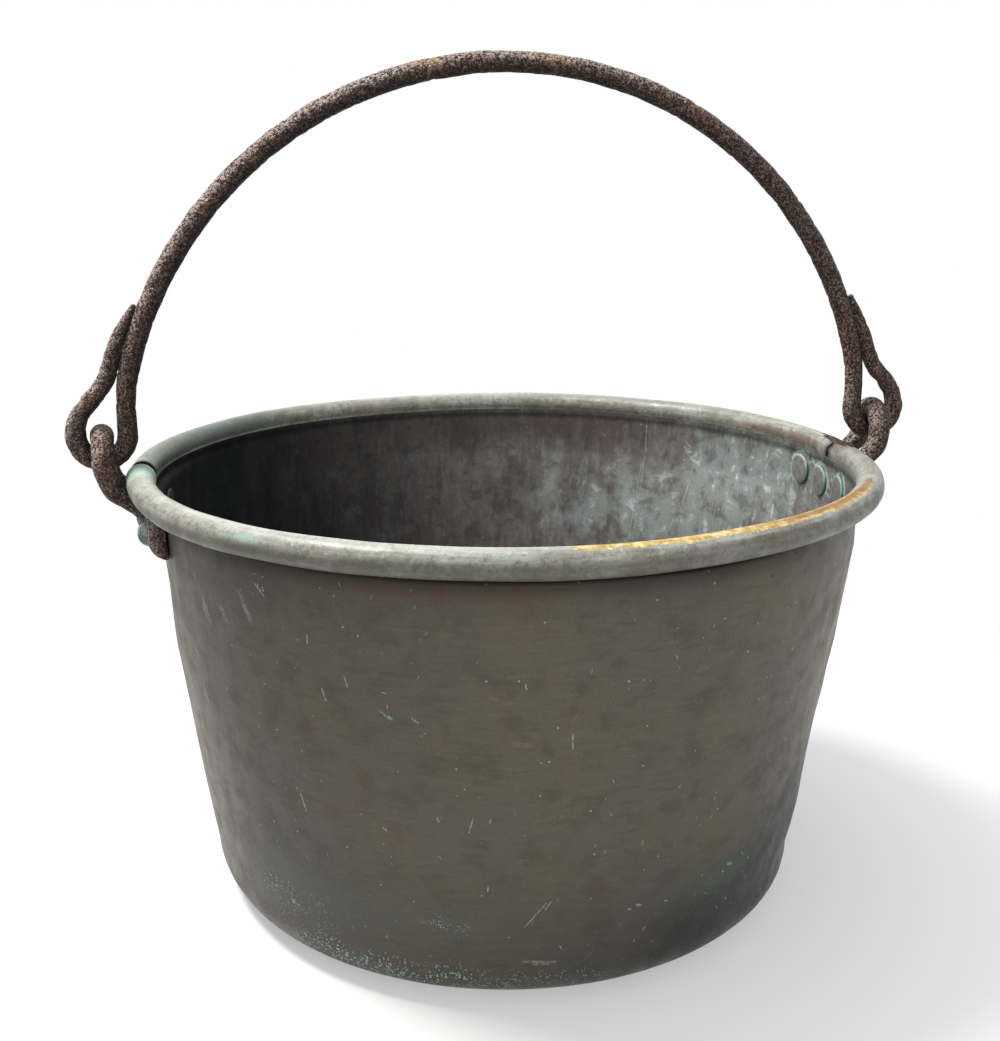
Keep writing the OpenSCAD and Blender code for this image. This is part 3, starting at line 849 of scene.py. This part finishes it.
# -------------------- rivets
def build_rivet(side, place, height, name, seed):
    """Turned about its own axis: a domed head outside, a shank, and a beaten flat head inside."""
    seat, head_r, head_h = FOOT_IN + 0.0072, 0.0086, 0.0088
    flat_r, flat_out, flat_t = 0.0112, 0.2424, 0.0019
    inmost = flat_out - flat_t
    profile = [(flat_r * 0.5, inmost - 0.0003), (flat_r * 0.8, inmost - 0.0002)]
    for a in np.radians(np.linspace(75, -90, 8)):
        profile.append((flat_r - 0.001 + 0.001 * math.cos(a), flat_out - flat_t / 2 * (1 + math.sin(a))))
    profile += [(0.004, flat_out), (0.004, seat), (head_r * 0.9, seat), (head_r, seat + 0.0012)]
    for a in np.radians(np.linspace(15, 82, 8)):
        profile.append((head_r * math.cos(a), seat + 0.0012 + (head_h - 0.0012) * math.sin(a)))
    angle = math.radians((90 + place) * side)
    sink = float(dent(math.degrees(angle), height))
    out = np.array([math.sin(angle), -math.cos(angle), 0])
    along = np.array([math.cos(angle), math.sin(angle), 0])
    up = np.array([0, 0, 1.0])
    sides = 56
    shank_x = 0.25             # between the inner head and the outer one
    points, edge, green, inner_left_shade = [], [], [], []

    def note(x, rim):
        outer = x > shank_x
        edge.append(float(rim))
        green.append(float(outer))
        # the left rivets' inner heads take the inner wall's painted shade
        inner_left_shade.append(0.9 * (side == LEFT and not outer))

    for r, x in profile:
        rim = smooth(r, 0.006, 0.009) if x > shank_x else smooth(r, 0.0092, 0.0114)
        for k in range(sides):
            a = 2 * math.pi * k / sides
            wide = r * (1 + 0.05 * noise.noise(Vector((math.cos(a) + seed, math.sin(a), seed * 3.1))))
            p = out * (x - sink) + along * wide * math.cos(a) + up * (wide * math.sin(a) + height)
            points.append(p + out * 0.0004 * noise.noise(Vector(p) * 170))
            note(x, rim)
    faces = ring_faces(len(profile), sides)
    middle, last = len(points), (len(profile) - 1) * sides
    for x in (profile[0][1] - 0.0001, profile[-1][1] + 0.0001):
        points.append(out * (x - sink) + up * height)
        note(x, 0)
    faces += [(middle, (k + 1) % sides, k) for k in range(sides)]
    faces += [(middle + 1, last + k, last + (k + 1) % sides) for k in range(sides)]
    add_piece("copper_" + name, points, faces, "pan", [rivet_head], [name],
              {"edge": edge, "green": green, "inner_left_shade": inner_left_shade})


for word, side in (("left", LEFT), ("right", RIGHT)):
    for number, (where, place, height) in enumerate(RIVETS[word]):
        build_rivet(side, place, height, f"rivet_{word}_{where}", side * 2 + number)


# -------------------- ears
def to_side(points, side):
    """From an ear's own (outward, toward the back, up) to the pan's frame."""
    points = np.asarray(points, float)
    return np.stack([points[:, 0] * side, points[:, 1], points[:, 2]], 1)


def flip_if(faces, flip):
    return [f[::-1] for f in faces] if flip else faces


def foot_form(side):
    """Half-round bar that hugs the collar, drawn down to a nose; the left one is shorter in front."""
    half_turn, thick, tall, nose = 17.7, 0.0112, 0.0272, 3.4
    trim, lean, drop = (3.2, 0.5, 0.0024) if side == LEFT else (0.0, 0.0, 0.0)
    stations = np.unique(np.r_[np.linspace(-half_turn, -half_turn + nose, 14), np.linspace(-14, 14, 40),
                               np.linspace(half_turn - nose, half_turn, 14)])
    sides = 40
    points = []
    for t in stations:
        left = min((half_turn - abs(t)) / nose, 1)
        share = math.sqrt(1 - (1 - left) ** 2) * 0.82 + 0.18
        sink = float(dent(side * (90 + t), FOOT_Z))
        for k in range(sides):
            b = 2 * math.pi * k / sides
            a = math.radians(t + (trim + lean * math.sin(b)) * float(smooth(-t, 8, half_turn)))
            r = FOOT_IN - sink + (thick * share * math.cos(b) ** 0.75 if math.cos(b) > 0 else 0.0)
            z = FOOT_Z - drop + tall / 2 * (0.86 + 0.14 * share) * math.sin(b)
            points.append((r * math.cos(a), r * math.sin(a), z))
    n = len(stations)
    faces = [f[::-1] for f in ring_faces(n, sides)]
    faces.append(tuple(range(sides)))
    faces.append(tuple((n - 1) * sides + k for k in reversed(range(sides))))
    return to_side(points, side), flip_if(faces, side == LEFT)


def ear_form(side):
    """Loop and two legs: the rod rises from the foot, goes over and comes down to the foot again."""
    out = EYE_REACH + side * SHIFT
    half, rod_r, root_r = 0.0165, 0.0077, 0.0058
    give = (out - EYE_REACH + SHIFT) / 2
    sink = float(dent(side * 90, FOOT_Z))
    leg = [(0.2510 - sink, half, 0.2745, root_r), (0.2560 - sink, half, 0.2800, root_r),
           (0.2640 - sink + give * 0.35, half, 0.2865, root_r), (0.2690 + give * 0.7, half, 0.2932, 0.0066),
           (out - 0.0024, half, 0.3010, rod_r), (out, half, AXIS_Z - 0.002, rod_r)]
    over = [(out, half * math.cos(a), AXIS_Z + half * math.sin(a), rod_r)
            for a in np.radians(np.linspace(0, 180, 25))]
    path = line_through(leg + over + [(x, -y, z, r) for x, y, z, r in leg[::-1]], 0.0016, 0.005)
    twist = math.radians(5) * smooth(path[:, 2], 0.285, 0.305)
    path[:, 0] += path[:, 1] * np.sin(twist)
    points, faces = rod(path, 32, rough=0)
    return to_side(points, side), flip_if(faces, side == LEFT)


for word, side in (("left", LEFT), ("right", RIGHT)):
    points, faces = forged(joined(foot_form(side), ear_form(side)), 0.0006, 11 + side)
    add_piece("iron_ear_" + word, points, faces, "pan", [iron], ["ear_" + word])


# -------------------- bail
# The drawn-down end of each side, from the eye up to its tip, in mm: from the bail's middle, above the
# middle of the bead, and radius
LEFT_END = [(294.5, 37, 6.5), (290.8, 45.2, 6.2), (284.6, 52.6, 6.0), (277.2, 60.4, 5.9), (272.4, 68.3, 6.0),
            (268.6, 80, 5.7), (264.8, 90.5, 5.2), (261.6, 98, 4.5), (257.4, 106, 3.5), (253.4, 112.5, 2.6),
            (252.6, 114.2, 2.1)]
RIGHT_END = [(295.2, 33, 6.6), (292.4, 42, 6.3), (286.0, 51, 6.1), (279.2, 57.6, 6.0), (274.8, 63.6, 5.8),
             (272.0, 70, 5.6), (267.7, 82.6, 5.2), (262.8, 93.7, 4.6), (258.3, 103, 3.6), (255.2, 109, 2.7),
             (254.2, 112, 2.1)]


def bail_half(end_points):
    """From the crown down the leg, round the eye and up to the tip, as (x, y, z, radius)."""
    arch_r, arch_z, bend_r, leg_x = 0.2675, 0.3004, 0.107, 0.2615
    eye_r, rod_r = 0.01675, 0.0070
    end = math.degrees(math.acos((leg_x - bend_r) / (arch_r - bend_r)))
    bend_z = arch_z + (arch_r - bend_r) * math.sin(math.radians(end))

    def arc(cx, cz, r, a0, a1, count):
        a = np.radians(np.linspace(a0, a1, count))
        return [(cx + r * math.cos(t), 0.0, cz + r * math.sin(t), rod_r) for t in a]

    line = arc(0, arch_z, arch_r, 90, end, 120) + arc(leg_x - bend_r, bend_z, bend_r, end, 0, 14)[1:]
    line += arc(EYE_REACH, AXIS_Z + eye_r, eye_r, 180, 355, 40)
    return line + [(x / 1000, 0, RIM_Z + z / 1000, r / 1000) for x, z, r in end_points]


def build_bail():
    left, right = bail_half(LEFT_END), bail_half(RIGHT_END)
    whole = [(-x, y, z, r) for x, y, z, r in left[::-1]] + right[1:]
    path = line_through(whole, 0.0010, 0.004)
    path[:, 3] += noise_at(path[:, :3], 0.05, 7) * 0.00025
    # a hair thinner where the legs come to rest over the rim
    path[:, 3] -= 0.0006 * bump_at(path[:, 2], 0.347, 0.018) * (np.abs(path[:, 0]) < 0.27)
    path[:, 0] += SHIFT
    path[:, 1] += noise_at(path[:, :3], 0.16, 9) * 0.0006 * smooth(path[:, 2], 0.36, 0.44)
    points, faces = rod(path, 44, 21)
    add_piece("iron_bail", points, faces, "bail", [iron], ["bail"])


build_bail()

# -------------------- floor, light, world
WHITE = (1.0, 1.0, 1.0)
SKY, SKY_LEVEL = (0.94, 0.97, 1.0), 0.44          # what lights the pan from all sides
FLOOR_SEEN, FLOOR_LIT = 0.96, 0.4                 # greys of the floor to the camera and to other rays
FADE_START, FADE_REACH = 0.25, 0.78               # share of plain white at the pan; all white this far out
FLOOR_DROP, FLOOR_HALF = 0.0005, 12.0


def seen_or_lit(tree, seen, lit):
    """The seen shader to the camera, gloss and glass, and the lit one to all other rays."""
    path = add_node(tree, "ShaderNodeLightPath").outputs
    share = path["Is Camera Ray"]
    for kind in ("Is Glossy Ray", "Is Transmission Ray"):
        share = add_node(tree, "ShaderNodeMath", {0: share, 1: path[kind]}, operation="MAXIMUM").outputs[0]
    return add_node(tree, "ShaderNodeMixShader", {0: share, 1: lit, 2: seen}).outputs[0]


scene.world = bpy.data.worlds.new("studio")
tree = fresh_tree(scene.world)
seen, lit = (add_node(tree, "ShaderNodeBackground", {0: colour, 1: level}).outputs[0]
             for colour, level in ((WHITE, 1.0), (SKY, SKY_LEVEL)))
add_node(tree, "ShaderNodeOutputWorld", {0: seen_or_lit(tree, seen, lit)})

# The floor is near white to the camera and fades to plain white, and gives back less light to the pan
floor_material = bpy.data.materials.new("pale_floor")
tree = fresh_tree(floor_material)
glow = add_node(tree, "ShaderNodeEmission", {0: WHITE}).outputs[0]
near, back = (add_node(tree, "ShaderNodeBsdfDiffuse", {0: grey}).outputs[0]
              for grey in (FLOOR_SEEN, FLOOR_LIT))
place = add_node(tree, "ShaderNodeTexCoord").outputs["Object"]
far = add_node(tree, "ShaderNodeVectorMath", {0: place}, operation="LENGTH").outputs["Value"]
fade = add_node(tree, "ShaderNodeMapRange", {0: far, 1: 0.0, 2: FADE_REACH, 3: FADE_START},
                interpolation_type="SMOOTHSTEP").outputs[0]
soft = add_node(tree, "ShaderNodeMixShader", {0: fade, 1: near, 2: glow}).outputs[0]
add_node(tree, "ShaderNodeOutputMaterial", {0: seen_or_lit(tree, soft, back)})
floor_mesh = bpy.data.meshes.new("floor")
corners = [(x * FLOOR_HALF, y * FLOOR_HALF, 0) for x, y in ((-1, -1), (1, -1), (1, 1), (-1, 1))]
floor_mesh.from_pydata(corners, [], [(0, 1, 2, 3)])
floor_mesh.materials.append(floor_material)
floor = bpy.data.objects.new("floor", floor_mesh)
floor.location = (0, 0, -FLOOR_DROP)
scene.collection.objects.link(floor)


def lamp(name, place, aim_at, size, power, colour):
    data = bpy.data.lights.new(name, "AREA")
    data.shape = "DISK"
    data.size = size
    data.energy = power
    data.color = colour
    obj = bpy.data.objects.new(name, data)
    scene.collection.objects.link(obj)
    obj.location = place
    obj.rotation_euler = (Vector(aim_at) - Vector(place)).to_track_quat("-Z", "Y").to_euler()


lamp("key", (-1.2, 0.45, 2.95), aim_at=(0, 0, 0.25), size=1.0, power=150, colour=(1.0, 0.98, 0.94))
lamp("front", (0.5, -2.5, 1.0), aim_at=(0, 0, 0.2), size=1.6, power=20, colour=(1.0, 0.98, 0.95))

scene.view_settings.view_transform = "Standard"
